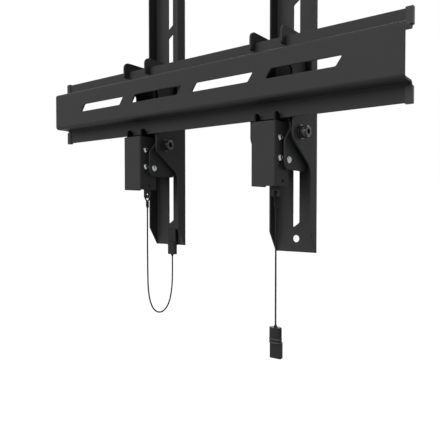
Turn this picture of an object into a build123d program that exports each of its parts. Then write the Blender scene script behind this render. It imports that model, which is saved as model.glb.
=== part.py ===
from build123d import *
import math
import os

# A slotted wall rail carries two arms for a flat screen. Each arm hangs on the rail by its hook bracket,
# tilts about a pivot screw and is locked to the rail by a sprung latch, which a cord pulls open.
# Millimetres, +Z up, X along the rail. The wall is the plane Y = 0 and the screen is on the -Y side, so
# a depth below is a distance from the wall. The origin is the middle of the rail on its wall face.

# Wall rail: a folded sheet with a web on the wall, two shelves and two lips
rail_length = 500.0
rail_sheet = 2.5
rail_bend = 1.5
rail_web_height = 50.6
rail_depth = 24.5
lip_height = 17.7
rail_slot_count = 4
rail_slot_pitch = 100.0
rail_slot_length = 78.0
rail_slot_width = 9.7

# Slanted ends of every slot
slot_slant = 35.0
slot_sharp_round = 1.0
slot_blunt_round = 3.0

# Caps on the ends of the lips
cap_reach = 6.0
cap_wall = 1.2
cap_top_gap = 2.0
cap_round = 0.8
cap_fit = 0.05

# Screen arm: a folded channel with an ear on each side
arm_spacing = 200.0
arm_width = 55.0
arm_sheet = 2.0
arm_bend = 2.0
arm_depth = 86.0
arm_drop = 149.0
arm_flange = 18.0
arm_end_taper = 24.0
arm_end_flange = 3.0
arm_hole_diameter = 8.5
arm_hole_spacing = 400.0
arm_hole_edge = 15.8
arm_slot_width = 8.5
arm_end_slot_start = 32.0
arm_end_slot_length = 92.0
arm_mid_slot_gap = 12.0
arm_mid_slot_length = 68.0
ear_gap = 1.5
ear_below_pivot = 9.0
ear_above_pivot = 31.0
ear_lower_slope = 28.0
ear_upper_slope = 34.0
ear_round = 11.0
ear_root_round = 16.0
arm_corner_round = 4.0

# Pivot screw, with its place below the lower lip
pivot_depth = 42.2
pivot_below_lip = 13.8
pivot_diameter = 8.0
pivot_fit = 0.05
screw_head_diameter = 13.0
screw_head_height = 8.0
screw_socket_flats = 6.0
screw_socket_depth = 4.0
screw_head_round = 0.8
screw_end_reach = 0.5
nut_flats = 13.0
nut_height = 4.0
washer_diameter = 16.0
washer_thickness = 1.6
disc_diameter = 20.0
disc_thickness = 4.95
disc_gap = 0.05

# Hook bracket: a folded channel that hangs on the upper lip
bracket_sheet = 2.5
bracket_bend = 2.0
bracket_depth = 70.0
bracket_neck_depth = 33.0
bracket_neck_gap = 3.0
bracket_rest_rise = 5.0
bracket_waist = 11.0
bracket_waist_height = 22.0
hook_gap = 0.2
hook_side_gap = 0.3
hook_back_gap = 0.6
hook_tooth = 8.4
hook_reach = 10.0
hook_height = 10.8
hook_round = 3.0
hook_corner = 8.0
tail_depth = 29.5
tail_below_lip = 44.2
tail_front_margin = 8.3
tail_drop = 11.0
tail_rise = 21.3
tail_slope = 12.0
tail_round = 8.0

# Latch cover: a folded box that is open at the back, the top and the bottom
cover_sheet = 1.5
cover_bend = 1.2
cover_face_depth = 8.3
cover_back_depth = 38.0
cover_below_lip = 3.8
cover_height = 69.2
cover_ear_round = 5.0
cover_ear_margin = 7.0
cover_hole_diameter = 3.5
cover_hole_depth = 25.0
cover_hole_rise = 6.0

# Latch slider: a folded channel with two prongs and a pull tab
latch_travel = 7.3
slider_sheet = 2.0
slider_bend = 1.2
slider_side_gap = 0.35
slider_back_gap = 0.4
slider_bottom_rise = 4.0
slider_back_top = 24.0
prong_width = 9.0
prong_lip_gap = 0.7
prong_overlap = 6.5
prong_neck = 7.0
slider_shoulder = 7.0
slider_tab_width = 12.0
slider_tab_drop = 10.7
slider_tab_round = 3.0
slider_eyelet_diameter = 4.0
slider_eyelet_rise = 4.5

# Pins and rivets of the latch
pin_diameter = 5.0
pin_head_diameter = 8.0
pin_head_height = 2.2
pin_depth = 19.0
guide_below_lip = 21.0
latch_pin_below_lip = 42.6
pin_head_gap = 0.15
pin_fit = 0.05
pin_slot_gap = 0.2
pin_bore_diameter = 3.8
pin_bore_depth = 6.0
tail_rivet_diameter = 6.0
tail_head_diameter = 9.0
tail_head_height = 2.4
spacer_wall = 2.0
spacer_length = 2.65

# Return spring, close wound, with an eye round each pin
spring_wire = 1.2
spring_coil_radius = 4.0
spring_ridge = 0.3
spring_eye_gap = 0.1
spring_end_width = 1.6
spring_end_sink = 0.5

# Pull cord, its tied eye and its magnetic tab
cord_diameter = 2.0
eye_radius = 4.0
eye_hang_gap = 0.25
knot_diameter = 4.4
knot_length = 10.0
knot_round = 0.8
hanging_cord_length = 133.2
tab_length = 35.5
tab_paddle_length = 19.0
tab_paddle_width = 14.0
tab_paddle_thickness = 6.0
tab_grip_width = 15.3
tab_grip_thickness = 9.0
tab_round = 0.8
magnet_diameter = 10.0
magnet_thickness = 3.0
magnet_edge = 9.0
magnet_fit = 0.05
stuck_tab_side = 6.5
stuck_tab_rise = 22.5
stuck_tab_gap = 0.05

# Route of the looped cord from its knot to the stuck tab: shares of the way across, and rises from the
# bottom of the loop, which hangs loop_drop below the tab's cord end
loop_drop = 79.5
loop_route = [
    (-0.004, 108.5),
    (0.000, 68.5),
    (0.012, 32.5),
    (0.130, 11.0),
    (0.360, 0.0),
    (0.640, 0.0),
    (0.870, 11.0),
    (0.985, 32.5),
    (1.004, 56.5),
]
loop_corner_share = 0.45

# Places worked out from the sizes above
web_half = rail_web_height / 2
lip_end = web_half + lip_height
lip_inner = rail_depth - rail_sheet
pivot_height = -lip_end - pivot_below_lip
arm_bottom = -lip_end - arm_drop
arm_length = arm_hole_spacing + 2 * arm_hole_edge
arm_top = arm_bottom + arm_length
ear_depth = rail_depth + ear_gap
bracket_width = arm_width - 2 * (arm_sheet + disc_gap + disc_thickness)
cover_width = bracket_width - 2 * (bracket_sheet + spacer_length)
tail_height = -lip_end - tail_below_lip
cover_top = -lip_end - cover_below_lip
cover_bottom = cover_top - cover_height
guide_height = -lip_end - guide_below_lip
latch_pin_height = -lip_end - latch_pin_below_lip
slider_half = cover_width / 2 - cover_sheet - slider_side_gap
slider_back = cover_back_depth - slider_back_gap
slider_bottom = cover_bottom + slider_bottom_rise
slider_tab_end = cover_bottom - slider_tab_drop
slider_tab_mid = slider_back - slider_sheet / 2
prong_back = lip_inner - prong_lip_gap
prong_top = -lip_end + prong_overlap
pin_slot_width = pin_diameter + 2 * pin_slot_gap
eyelet_low = slider_tab_end + slider_eyelet_rise - slider_eyelet_diameter / 2
eye_height = eyelet_low + eye_hang_gap + cord_diameter / 2 - eye_radius
knot_top = eye_height - eye_radius + cord_diameter / 2
cord_start = knot_top - knot_length

SIDE = Plane(origin=(0, 0, 0), x_dir=(0, -1, 0), z_dir=(-1, 0, 0))


def outline(corners):
    """Closed face from (depth, height, corner radius) corners in the side view."""
    points = [(depth, height) for depth, height, radius in corners]
    radii = [radius for depth, height, radius in corners]
    return make_face(FilletPolyline(*points, radius=radii, close=True))


def folded(points, sheet, bend):
    """Section of a sheet folded along its middle line."""
    return trace(FilletPolyline(*points, radius=bend + sheet / 2), line_width=sheet)


def across(sketch, width):
    """Solid that carries a side-view sketch across the arm."""
    return extrude(SIDE * sketch, amount=width / 2, both=True)


def cross_hole(depth, height, diameter, width):
    """Round hole along X through both sides of a channel."""
    return across(Pos(depth, height) * Circle(diameter / 2), width)


def cross_slot(depth, low, high, slot_width, width):
    """Upright slot along X through both sides, with round ends centred at low and high."""
    slot = SlotCenterToCenter(high - low, slot_width)
    return across(Pos(depth, (low + high) / 2) * Rot(0, 0, 90) * slot, width)


def turned(profile, depth, height):
    """Solid turned about an axis along X from (x, radius) points or a sketch."""
    face = profile if isinstance(profile, Sketch) else make_face(Polyline(*profile, close=True))
    return Pos(0, -depth, height) * revolve(face, Axis.X, 360)


def tube(low, high, outer, bore):
    """Profile of a plain ring between two places along X."""
    return [(low, bore / 2), (high, bore / 2), (high, outer / 2), (low, outer / 2)]


def both_sides(low, high, outer, bore, depth, height):
    """Two plain rings, mirrored to both sides of the arm."""
    ring = turned(tube(low, high, outer, bore), depth, height)
    return [ring, mirror(ring, Plane.YZ)]


def slanted_slot(length, width):
    """Slot that runs along X, with slanted ends that lean to -X at the top."""
    lean = width / 2 * math.tan(math.radians(slot_slant))
    half = length / 2
    points = [
        (-half + lean, -width / 2),
        (half + lean, -width / 2),
        (half - lean, width / 2),
        (-half - lean, width / 2),
    ]
    radii = [slot_blunt_round, slot_sharp_round, slot_blunt_round, slot_sharp_round]
    return make_face(FilletPolyline(*points, radius=radii, close=True))


def wall_rail():
    """Folded rail with its row of slanted wall slots."""
    shelf = web_half - rail_sheet / 2
    web = rail_sheet / 2
    lip = rail_depth - rail_sheet / 2
    points = [(lip, -lip_end), (lip, -shelf), (web, -shelf), (web, shelf), (lip, shelf), (lip, lip_end)]
    rail = across(folded(points, rail_sheet, rail_bend), rail_length)
    hole = Plane.XZ * slanted_slot(rail_slot_length, rail_slot_width)
    slot = extrude(hole, amount=2 * rail_sheet, both=True)
    first = -(rail_slot_count - 1) * rail_slot_pitch / 2
    for index in range(rail_slot_count):
        rail -= Pos(first + index * rail_slot_pitch, 0, 0) * slot
    return rail


def lip_end_caps():
    """Four moulded caps that clip on the ends of the two lips."""
    low = -lip_end - cap_wall
    high = -web_half - cap_top_gap
    near = lip_inner - cap_wall
    far = rail_depth + cap_wall
    length = cap_reach + cap_wall
    body = Pos(0, -(near + far) / 2, (low + high) / 2) * Box(length, far - near, high - low)
    body = fillet(body.edges().filter_by(Axis.X) + body.edges().filter_by(Axis.Y), cap_round)
    groove_low = -lip_end - cap_fit
    groove = Pos(-cap_wall, -(lip_inner + rail_depth) / 2, (groove_low + high) / 2 + cap_wall)
    groove = groove * Box(length, rail_sheet + 2 * cap_fit, high - groove_low + 2 * cap_wall)
    cap = Pos(rail_length / 2 + cap_wall + cap_fit - length / 2, 0, 0) * (body - groove)
    lower = [cap, mirror(cap, Plane.YZ)]
    return lower + [mirror(solid, Plane.XY) for solid in lower]


def upright_slot(start, length):
    """Cutter for a slanted slot that runs up the arm's web, from a height above the arm's end."""
    slot = Rot(0, 0, 90) * mirror(slanted_slot(length, arm_slot_width), Plane.XZ)
    place = Pos(0, -arm_depth, arm_bottom + start + length / 2)
    return place * extrude(Plane.XZ * slot, amount=2 * arm_sheet, both=True)


def tv_arm():
    """Folded channel with ears that turn on the pivot screw."""
    side = (arm_width - arm_sheet) / 2
    web = arm_depth - arm_sheet / 2
    points = [(-side, -ear_depth), (-side, -web), (side, -web), (side, -ear_depth)]
    channel = extrude(Pos(0, 0, arm_bottom) * folded(points, arm_sheet, arm_bend), amount=arm_length)
    edge = arm_depth - arm_flange
    tip = arm_depth - arm_end_flange
    ear_low = pivot_height - ear_below_pivot
    ear_high = pivot_height + ear_above_pivot
    shape = outline([
        (arm_depth, arm_bottom, 0),
        (tip, arm_bottom, 0),
        (edge, arm_bottom + arm_end_taper, arm_corner_round),
        (edge, ear_low - ear_lower_slope, ear_root_round),
        (ear_depth, ear_low, ear_round),
        (ear_depth, ear_high, ear_round),
        (edge, ear_high + ear_upper_slope, ear_root_round),
        (edge, arm_top - arm_end_taper, arm_corner_round),
        (tip, arm_top, 0),
        (arm_depth, arm_top, 0),
    ])
    arm = channel & across(shape, arm_width)
    arm -= cross_hole(pivot_depth, pivot_height, pivot_diameter + 2 * pivot_fit, arm_width)
    hole = extrude(Plane.XZ * Circle(arm_hole_diameter / 2), amount=2 * arm_sheet, both=True)
    mid_start = arm_end_slot_start + arm_end_slot_length + arm_mid_slot_gap
    for place in (arm_hole_edge, arm_length - arm_hole_edge):
        arm -= Pos(0, -arm_depth, arm_bottom + place) * hole
    for start, length in ((arm_end_slot_start, arm_end_slot_length), (mid_start, arm_mid_slot_length)):
        arm -= upright_slot(start, length)
        arm -= upright_slot(arm_length - start - length, length)
    return arm


def hook_bracket():
    """Folded channel with two hooks for the upper lip and two rounded tails below."""
    side = (bracket_width - bracket_sheet) / 2
    web = bracket_depth - bracket_sheet / 2
    near = rail_depth + hook_side_gap
    tooth_back = lip_inner - hook_back_gap
    tooth_front = tooth_back - hook_tooth
    seat = lip_end + hook_gap
    top = seat + hook_height
    points = [(-side, -tooth_front), (-side, -web), (side, -web), (side, -tooth_front)]
    base = tail_height - tail_drop
    channel = extrude(Pos(0, 0, base) * folded(points, bracket_sheet, bracket_bend), amount=top - base)
    tail_front = tail_depth - tail_front_margin
    shape = outline([
        (tail_front, base, tail_round),
        (tail_front, tail_height + tail_rise, hook_round),
        (bracket_neck_depth, tail_height + tail_rise + tail_slope, hook_round),
        (bracket_neck_depth, -lip_end - bracket_neck_gap, hook_round),
        (near, -lip_end + bracket_rest_rise, hook_round),
        (near, -bracket_waist_height, hook_round),
        (near + bracket_waist, -bracket_waist_height + bracket_waist, hook_round),
        (near + bracket_waist, bracket_waist_height - bracket_waist, hook_round),
        (near, bracket_waist_height, hook_round),
        (near, seat, 0),
        (tooth_back, seat, 0),
        (tooth_back, seat - hook_reach, hook_round),
        (tooth_front, seat - hook_reach, hook_round),
        (tooth_front, top, hook_corner),
        (bracket_depth, top, hook_corner),
        (bracket_depth, base, tail_round),
    ])
    bracket = channel & across(shape, bracket_width)
    bracket -= cross_hole(pivot_depth, pivot_height, pivot_diameter + 2 * pivot_fit, bracket_width)
    bracket -= cross_hole(tail_depth, tail_height, tail_rivet_diameter + 2 * pin_fit, bracket_width)
    return bracket


def latch_cover():
    """Folded box round the latch, held by the pivot screw and the tail rivet."""
    side = (cover_width - cover_sheet) / 2
    face = cover_face_depth + cover_sheet / 2
    ear_end = pivot_depth + pivot_diameter / 2 + spacer_wall
    points = [(-side, -ear_end), (-side, -face), (side, -face), (side, -ear_end)]
    box = extrude(Pos(0, 0, cover_bottom) * folded(points, cover_sheet, cover_bend), amount=cover_height)
    ear_low = pivot_height - cover_ear_margin
    shape = outline([
        (cover_face_depth, cover_bottom, 0),
        (cover_back_depth, cover_bottom, 0),
        (cover_back_depth, ear_low - cover_ear_margin, cover_ear_round),
        (ear_end, ear_low, cover_ear_round),
        (ear_end, cover_top, cover_ear_round),
        (cover_face_depth, cover_top, 0),
    ])
    cover = box & across(shape, cover_width)
    cover -= cross_hole(pivot_depth, pivot_height, pivot_diameter + 2 * pivot_fit, cover_width)
    cover -= cross_hole(tail_depth, tail_height, tail_rivet_diameter + 2 * pin_fit, cover_width)
    cover -= cross_hole(pin_depth, guide_height, pin_diameter + 2 * pin_fit, cover_width)
    cover -= cross_hole(cover_hole_depth, cover_bottom + cover_hole_rise, cover_hole_diameter, cover_width)
    pin_low = latch_pin_height - latch_travel
    cover -= cross_slot(pin_depth, pin_low, latch_pin_height, pin_slot_width, cover_width)
    return cover


def latch_slider():
    """Folded channel that slides in the cover, with two prongs above and the pull tab below."""
    side = slider_half - slider_sheet / 2
    front = prong_back - prong_width
    points = [(-side, -front), (-side, -slider_tab_mid), (side, -slider_tab_mid), (side, -front)]
    height = prong_top - slider_bottom
    channel = extrude(Pos(0, 0, slider_bottom) * folded(points, slider_sheet, slider_bend), amount=height)
    dome = prong_width / 2
    shoulder = prong_top - prong_overlap - prong_neck
    shape = outline([
        (front, slider_bottom, 0),
        (slider_back, slider_bottom, 0),
        (slider_back, cover_top - slider_back_top, 0),
        (prong_back + slider_shoulder, shoulder - slider_shoulder, slider_tab_round),
        (prong_back + slider_shoulder, shoulder, slider_tab_round),
        (prong_back, shoulder, 0),
        (prong_back, prong_top - dome, 0),
        (front, prong_top - dome, 0),
    ])
    shape += Pos(front + dome, prong_top - dome) * Circle(dome)
    width = 2 * slider_half
    slider = channel & across(shape, width)
    tail_width = tail_rivet_diameter + 2 * pin_slot_gap
    slider -= cross_slot(pin_depth, guide_height, guide_height + latch_travel, pin_slot_width, width)
    slider -= cross_slot(tail_depth, tail_height, tail_height + latch_travel, tail_width, width)
    slider -= cross_hole(pin_depth, latch_pin_height, pin_diameter + 2 * pin_fit, width)
    tab_height = slider_bottom - slider_tab_end
    overlap = slider_bend + slider_sheet
    tab = Pos(0, (overlap - tab_height) / 2) * Rectangle(slider_tab_width, tab_height + overlap)
    tab = fillet(tab.vertices().group_by(Axis.Y)[0], slider_tab_round)
    tab -= Pos(0, slider_eyelet_rise - tab_height) * Circle(slider_eyelet_diameter / 2)
    place = Plane.XZ.offset(slider_tab_mid)
    slider += Pos(0, 0, slider_bottom) * extrude(place * tab, amount=slider_sheet / 2, both=True)
    return slider


def headed_pin(seat, head_sizes, depth, height, bored):
    """Cross pin with a domed head on each side at a distance from the middle, solid or bored at its ends."""
    radius, head_radius, head_height = head_sizes
    dome = (head_radius**2 + head_height**2) / (2 * head_height)
    crown = seat + head_height
    middle = crown - dome
    turn = math.asin(head_radius / dome) / 2
    bulge = (middle + dome * math.cos(turn), dome * math.sin(turn))
    shank = Polyline((0, 0), (0, radius), (seat, radius), (seat, head_radius))
    head = ThreePointArc((seat, head_radius), bulge, (crown, 0))
    half = turned(Sketch() + make_face(shank + head + Line((crown, 0), (0, 0))), depth, height)
    if bored:
        half -= turned(tube(crown - pin_bore_depth, crown, pin_bore_diameter, 0), depth, height)
    return half + mirror(half, Plane.YZ)


def latch_spring():
    """Close-wound tension spring between the guide rivet and the latch pin."""
    eye = pin_diameter / 2 + spring_eye_gap + spring_wire / 2
    high = guide_height - eye
    low = latch_pin_height + eye
    turns = round((high - low) / spring_wire)
    pitch = (high - low) / turns
    inner = spring_coil_radius - spring_wire
    profile = [(inner, low)]
    for index in range(turns):
        base = low + index * pitch
        profile += [(spring_coil_radius - spring_ridge, base), (spring_coil_radius, base + pitch / 2)]
    profile += [(spring_coil_radius - spring_ridge, high), (inner, high)]
    coil = revolve(make_face(Plane.XZ * Polyline(*profile, close=True)), Axis.Z, 360)
    spring = Pos(0, -pin_depth, 0) * coil
    bar = Box(spring_end_width, 2 * spring_coil_radius - spring_wire, spring_end_width)
    ring = Rot(0, 90, 0) * Torus(eye, spring_wire / 2)
    for pin, end in ((guide_height, high - spring_end_sink), (latch_pin_height, low + spring_end_sink)):
        spring += Pos(0, -pin_depth, end) * bar
        spring += Pos(0, -pin_depth, pin) * ring
    return spring


def pivot_screw():
    """Socket head cap screw, with its head on the -X side of the arm."""
    seat = arm_width / 2 + disc_gap + washer_thickness
    end = seat + nut_height + screw_end_reach
    crown = seat + screw_head_height
    profile = [
        (-crown, 0),
        (-crown, screw_head_diameter / 2 - screw_head_round),
        (-crown + screw_head_round, screw_head_diameter / 2),
        (-seat, screw_head_diameter / 2),
        (-seat, pivot_diameter / 2),
        (end - screw_head_round, pivot_diameter / 2),
        (end, pivot_diameter / 2 - screw_head_round),
        (end, 0),
    ]
    hexagon = RegularPolygon(screw_socket_flats / 2, 6, major_radius=False)
    socket = Pos(-crown, -pivot_depth, pivot_height) * extrude(Plane.YZ * hexagon, amount=screw_socket_depth)
    return turned(profile, pivot_depth, pivot_height) - socket


def pivot_nut():
    """Thin nut on the +X side."""
    seat = arm_width / 2 + disc_gap + washer_thickness
    hexagon = RegularPolygon(nut_flats / 2, 6, major_radius=False)
    nut = extrude(Plane.YZ * (hexagon - Circle(pivot_diameter / 2 + pivot_fit)), amount=nut_height)
    return Pos(seat, -pivot_depth, pivot_height) * nut


def pivot_washers():
    """Steel washers outside the arm's ears."""
    low = arm_width / 2 + disc_gap
    bore = pivot_diameter + 2 * pivot_fit
    return both_sides(low, low + washer_thickness, washer_diameter, bore, pivot_depth, pivot_height)


def tilt_discs():
    """Plastic friction discs between the arm's ears and the hook bracket."""
    low = bracket_width / 2
    bore = pivot_diameter + 2 * pivot_fit
    return both_sides(low, low + disc_thickness, disc_diameter, bore, pivot_depth, pivot_height)


def pivot_spacers():
    """Tubes on the pivot screw, inside the cover and between the cover and the hook bracket."""
    bore = pivot_diameter + 2 * pivot_fit
    outer = bore + 2 * spacer_wall
    inside = cover_width / 2 - cover_sheet
    end = cover_width / 2 + spacer_length
    rings = both_sides(cover_width / 2, end, outer, bore, pivot_depth, pivot_height)
    return rings + [turned(tube(-inside, inside, outer, bore), pivot_depth, pivot_height)]


def tail_spacers():
    """Rings on the tail rivet between the cover and the hook bracket."""
    bore = tail_rivet_diameter + 2 * pin_fit
    outer = bore + 2 * spacer_wall
    end = cover_width / 2 + spacer_length
    return both_sides(cover_width / 2, end, outer, bore, tail_depth, tail_height)


def cord_eye():
    """Loop of cord through the slider's tab, closed by a long knot."""
    ring = Pos(0, -slider_tab_mid, eye_height) * Rot(0, 90, 0) * Torus(eye_radius, cord_diameter / 2)
    knot = Cylinder(knot_diameter / 2, knot_length)
    knot = fillet(knot.edges().filter_by(GeomType.CIRCLE), knot_round)
    return ring + Pos(0, -slider_tab_mid, knot_top - knot_length / 2) * knot


def pull_tab():
    """Moulded tab that hangs from its cord end at the origin, with its flat back on the -Y side."""
    shoulder = -(tab_length - tab_paddle_length)
    back = tab_grip_thickness / 2
    middle = tab_paddle_thickness / 2 - back
    paddle = Pos(0, middle, shoulder - tab_paddle_length / 2)
    paddle = paddle * Box(tab_paddle_width, tab_paddle_thickness, tab_paddle_length)
    paddle = fillet(paddle.edges(), tab_round)
    grip = extrude(Ellipse(tab_grip_width / 2, tab_grip_thickness / 2), amount=shoulder - tab_round)
    tab = paddle + grip
    pocket = Pos(0, -back, magnet_edge - tab_length) * Rot(90, 0, 0)
    return tab - pocket * Cylinder(magnet_diameter / 2, 2 * magnet_thickness)


def tab_magnet():
    """Disc magnet, flush with the back of the pull tab."""
    place = Pos(0, magnet_thickness / 2 - tab_grip_thickness / 2, magnet_edge - tab_length)
    return place * Rot(90, 0, 0) * Cylinder(magnet_diameter / 2 - magnet_fit, magnet_thickness)


def route_radii(points):
    """Corner radii of a cord's route, as large as its runs allow."""
    radii = []
    for before, corner, after in zip(points, points[1:], points[2:]):
        first = Vector(corner) - Vector(before)
        second = Vector(after) - Vector(corner)
        half_turn = math.radians(first.get_angle(second)) / 2
        radii.append(loop_corner_share * min(first.length, second.length) / math.tan(half_turn))
    return radii


def cord_tube(points):
    """Round cord along straight runs that are joined by tangent arcs."""
    if len(points) == 2:
        path = Line(*points)
    else:
        radii = route_radii(points)
        print("cord radii", [round(radius, 1) for radius in radii])
        path = FilletPolyline(*points, radius=radii)
    section = Plane(origin=points[0], z_dir=path % 0) * Circle(cord_diameter / 2)
    cord = sweep(section, path=path)
    print("cord length", round(path.length, 1), "volume ratio", round(
        cord.volume / (math.pi * cord_diameter**2 / 4 * path.length), 4))
    return cord


stuck_depth = arm_depth - arm_sheet - stuck_tab_gap - tab_grip_thickness / 2
stuck_end = arm_bottom + stuck_tab_rise - tab_length
hanging_end = cord_start - hanging_cord_length


def looped_points():
    """Route of the looped cord, from its knot to the cord end of the stuck tab."""
    bottom = stuck_end - loop_drop
    loop = [(share, bottom + rise) for share, rise in loop_route]
    shares = [(0.0, cord_start)] + loop + [(1.0, stuck_end)]
    reach = stuck_depth - slider_tab_mid
    return [(-share * stuck_tab_side, -slider_tab_mid - share * reach, height) for share, height in shares]


def hanging_points():
    """Route of the hanging cord, straight down to its tab."""
    return [(0, -slider_tab_mid, cord_start), (0, -slider_tab_mid, hanging_end)]


hanging_place = Pos(0, -slider_tab_mid, hanging_end)
stuck_place = Pos(-stuck_tab_side, -stuck_depth, stuck_end) * Rot(0, 180, 0)

pin_head = (pin_diameter / 2, pin_head_diameter / 2, pin_head_height)
tail_head = (tail_rivet_diameter / 2, tail_head_diameter / 2, tail_head_height)
common = {
    "tv_arm": tv_arm(),
    "hook_bracket": hook_bracket(),
    "latch_cover": latch_cover(),
    "latch_slider": latch_slider(),
    "guide_rivet": headed_pin(cover_width / 2, pin_head, pin_depth, guide_height, True),
    "latch_pin": headed_pin(cover_width / 2 + pin_head_gap, pin_head, pin_depth, latch_pin_height, True),
    "tail_rivet": headed_pin(bracket_width / 2, tail_head, tail_depth, tail_height, False),
    "latch_spring": latch_spring(),
    "pivot_screw": pivot_screw(),
    "pivot_nut": pivot_nut(),
    "pivot_washers": pivot_washers(),
    "tilt_discs": tilt_discs(),
    "pivot_spacers": pivot_spacers(),
    "tail_spacers": tail_spacers(),
    "cord_eye": cord_eye(),
}

arm_places = {"right": arm_spacing / 2, "left": -arm_spacing / 2}
own_pieces = {
    "right": {
        "pull_cord": cord_tube(looped_points()),
        "pull_tab": stuck_place * pull_tab(),
        "tab_magnet": stuck_place * tab_magnet(),
    },
    "left": {
        "pull_cord": cord_tube(hanging_points()),
        "pull_tab": hanging_place * pull_tab(),
        "tab_magnet": hanging_place * tab_magnet(),
    },
}

nodes = {"wall_rail": wall_rail(), "lip_end_caps": lip_end_caps()}
for arm, place in arm_places.items():
    for name, piece in (common | own_pieces[arm]).items():
        solids = piece if isinstance(piece, list) else [piece]
        nodes[f"{name}_{arm}"] = [Pos(place, 0, 0) * solid for solid in solids]

os.makedirs("parts", exist_ok=True)
for name, piece in nodes.items():
    solids = piece if isinstance(piece, list) else [piece]
    shape = solids[0] if len(solids) == 1 else Compound(children=solids)
    export_step(shape, f"parts/{name}.step")
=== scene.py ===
"""Looks of a tilting tv wall bracket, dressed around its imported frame.

A slotted wall rail carries two arms for a flat screen. Each arm hangs on the rail by a hook bracket, tilts
on a pivot screw and is locked by a sprung latch that a cord pulls open. Places are in the frame of the part:
+X along the rail, +Y into the wall and +Z up. Sizes are written in millimetres and built in metres.
"""

import logging
import math
from dataclasses import dataclass, replace
from enum import Enum

import bmesh
import bpy
from mathutils import Matrix, Vector

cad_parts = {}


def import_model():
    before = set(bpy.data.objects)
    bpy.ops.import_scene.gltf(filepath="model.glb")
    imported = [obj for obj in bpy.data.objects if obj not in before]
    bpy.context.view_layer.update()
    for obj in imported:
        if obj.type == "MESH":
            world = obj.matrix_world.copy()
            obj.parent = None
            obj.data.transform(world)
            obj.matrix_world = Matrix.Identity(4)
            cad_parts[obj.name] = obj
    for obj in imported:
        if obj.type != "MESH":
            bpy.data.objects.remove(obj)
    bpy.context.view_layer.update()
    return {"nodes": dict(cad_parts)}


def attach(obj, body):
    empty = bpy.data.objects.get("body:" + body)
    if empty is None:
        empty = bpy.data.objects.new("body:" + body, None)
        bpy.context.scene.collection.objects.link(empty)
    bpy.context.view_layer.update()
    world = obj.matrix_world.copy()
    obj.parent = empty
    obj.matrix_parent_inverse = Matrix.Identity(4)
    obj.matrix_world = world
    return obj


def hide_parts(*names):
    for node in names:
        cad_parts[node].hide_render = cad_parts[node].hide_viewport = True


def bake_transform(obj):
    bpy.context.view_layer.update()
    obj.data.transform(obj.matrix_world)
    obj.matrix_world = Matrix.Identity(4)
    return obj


LOG = logging.getLogger("tv_bracket")
MM = 0.001

# Width and height of the photograph
IMAGE_PIXELS = 440
# Distance of each arm's middle from the rail's middle
ARM_PLACE_MM = 100.0
# Corners closer than this are one corner
MERGE_DISTANCE = 0.001 * MM
# Faces that meet at less than this angle are one flat face
FLAT_ANGLE = math.radians(0.2)
# Edges that turn by more than this angle are rounded
SHARP_ANGLE = math.radians(32)
# Faces across a rounded edge
EDGE_STEPS = 2
# Weight of large faces in the shading at their edges, of 100 at most
FLAT_WEIGHT = 100
# Sides of a knurl's section
RIDGE_SIDES = 6
# Points on a cord's smooth line for each point of its route
LINE_STEPS = 12
# UV map of a tube: turns round it and metres along it
TUBE_MAP = "turns_and_metres"
# Octaves of a noise, and the range that most of its values are in
NOISE_DETAIL = 2.0
NOISE_LOW = 0.3
NOISE_HIGH = 0.7
# Colour sockets of a Mix node, which go by number because its other kinds share their names
MIX_SHARE = 0
MIX_FIRST = 6
MIX_SECOND = 7
MIX_RESULT = 2


class Side(Enum):
    """The two arms, as seen from the room: right is at +X."""

    RIGHT = "right"
    LEFT = "left"

    @property
    def place(self) -> float:
        """Place of the arm's middle along the rail, in millimetres."""
        return ARM_PLACE_MM if self is Side.RIGHT else -ARM_PLACE_MM

    def own(self, piece: str) -> str:
        """Name of this arm's own node, body or piece."""
        return f"{piece}_{self.value}"

    def point(self, x: float, depth: float, height: float) -> Vector:
        """Point from the arm's middle, the distance from the wall and the height, in millimetres."""
        return Vector((self.place + x, -depth, height)) * MM


class Slot(Enum):
    """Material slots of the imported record."""

    STEEL = "black_steel"
    ZINC = "zinc_steel"
    BLACKENED = "blackened_steel"
    PLASTIC = "black_plastic"
    NYLON = "nylon"
    CORD = "black_cord"
    NICKEL = "nickel"


def linear(colour: str) -> tuple[float, float, float, float]:
    """Turn an sRGB hex colour into linear light.

    Args:
        colour: Hex colour such as "#2b2b2c".

    Returns:
        Red, green, blue and an alpha of 1.
    """
    parts = [int(colour[start:start + 2], 16) / 255 for start in (1, 3, 5)]
    light = [part / 12.92 if part <= 0.04045 else ((part + 0.055) / 1.055) ** 2.4 for part in parts]
    return light[0], light[1], light[2], 1.0


def add_node(
        tree: bpy.types.NodeTree,
        kind: str,
        feeds: dict[str | int, object] | None = None,
        **settings: object) -> bpy.types.Node:
    """Add a node, set its fields and feed its inputs.

    Args:
        tree: Node tree that gets the node.
        kind: The node's type name.
        feeds: Input names or numbers, each with a value or another node's output.
        settings: Fields of the node and their values.

    Returns:
        The new node.
    """
    node = tree.nodes.new(kind)
    for field, value in settings.items():
        setattr(node, field, value)
    for name, feed in (feeds or {}).items():
        if isinstance(feed, bpy.types.NodeSocket):
            tree.links.new(feed, node.inputs[name])
        else:
            node.inputs[name].default_value = feed
    return node


def start_material(name: str, values: dict[str, float]) -> tuple[bpy.types.Material, bpy.types.Node]:
    """Start a material from one Principled shader.

    Args:
        name: Name of the real material.
        values: Shader inputs that are the same all over the surface.

    Returns:
        The material and its shader node.
    """
    material = bpy.data.materials.new(name)
    material.use_nodes = True
    shader = material.node_tree.nodes["Principled BSDF"]
    for socket, value in values.items():
        shader.inputs[socket].default_value = value
    return material, shader


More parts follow.
